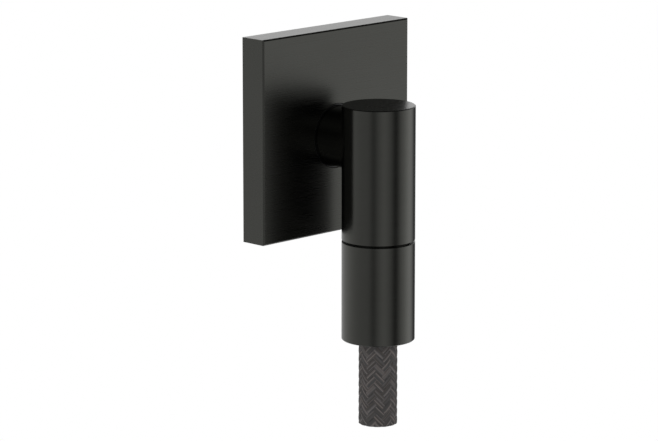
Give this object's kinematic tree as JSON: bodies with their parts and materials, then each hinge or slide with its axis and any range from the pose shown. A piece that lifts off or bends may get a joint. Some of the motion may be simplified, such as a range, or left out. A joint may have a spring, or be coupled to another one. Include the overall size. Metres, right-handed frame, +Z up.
{
  "type": "wall outlet elbow",
  "caption": "Wall outlet elbow: a square plate with a horizontal neck, a round vertical tube, a sleeve nut below it and a short length of woven hose.",
  "frame": {"origin": "where the wall thread's axis crosses the finished wall, at the thread's start", "axes": "+Y into the wall along the thread, -Y into the room, +Z up along the tube, +X to the right as one faces the wall"},
  "size_m": [0.07, 0.0573, 0.1342],
  "materials": {
    "black_plate": "brushed black coating, fine lines across the plate",
    "black_tube": "brushed black coating, fine lines round the tube",
    "black_collar": "brushed black coating, fine lines round the collar",
    "bare_brass": "turned brass, uncoated",
    "screw_steel": "plain stainless steel",
    "spring_steel": "bright spring wire",
    "woven_metal": "dark woven wire sleeve",
    "seal_rubber": "smooth black seal rubber",
    "soft_seal": "dull closed-cell foam",
    "liner_rubber": "smooth black hose liner",
    "fibre_washer": "dull red fibre sheet",
    "ring_plastic": "satin black plastic",
    "valve_plastic": "moulded off-white plastic",
    "guide_plastic": "moulded blue plastic"
  },
  "bodies": {
    "outlet": {"escutcheon": "black_plate", "escutcheon_gasket": "soft_seal", "neck_slide_ring": "ring_plastic", "elbow_body": "black_tube", "set_screw": "screw_steel", "wall_nipple": "bare_brass", "wall_washer": "fibre_washer", "nipple_o_ring_rear": "seal_rubber", "nipple_o_ring_front": "seal_rubber", "valve_housing": "valve_plastic", "valve_o_ring": "seal_rubber", "valve_guide": "guide_plastic", "valve_spring": "spring_steel", "hose_washer": "seal_rubber", "hose_tail": "bare_brass", "hose_ferrule": "screw_steel", "hose_liner": "liner_rubber", "hose_jacket": "woven_metal", "hose_collar": "black_collar", "collar_bush": "ring_plastic"},
    "poppet": {"valve_poppet": "guide_plastic", "valve_poppet_ring": "seal_rubber"}
  },
  "joints": [
    {"name": "poppet_lift", "type": "slide", "parent": "outlet", "child": "poppet", "axis": [0, 0, -1], "range_m": [0, 0.0035], "stiffness_N_per_m": 60, "springref_m": -0.002, "deforming": ["valve_spring"]}
  ]
}
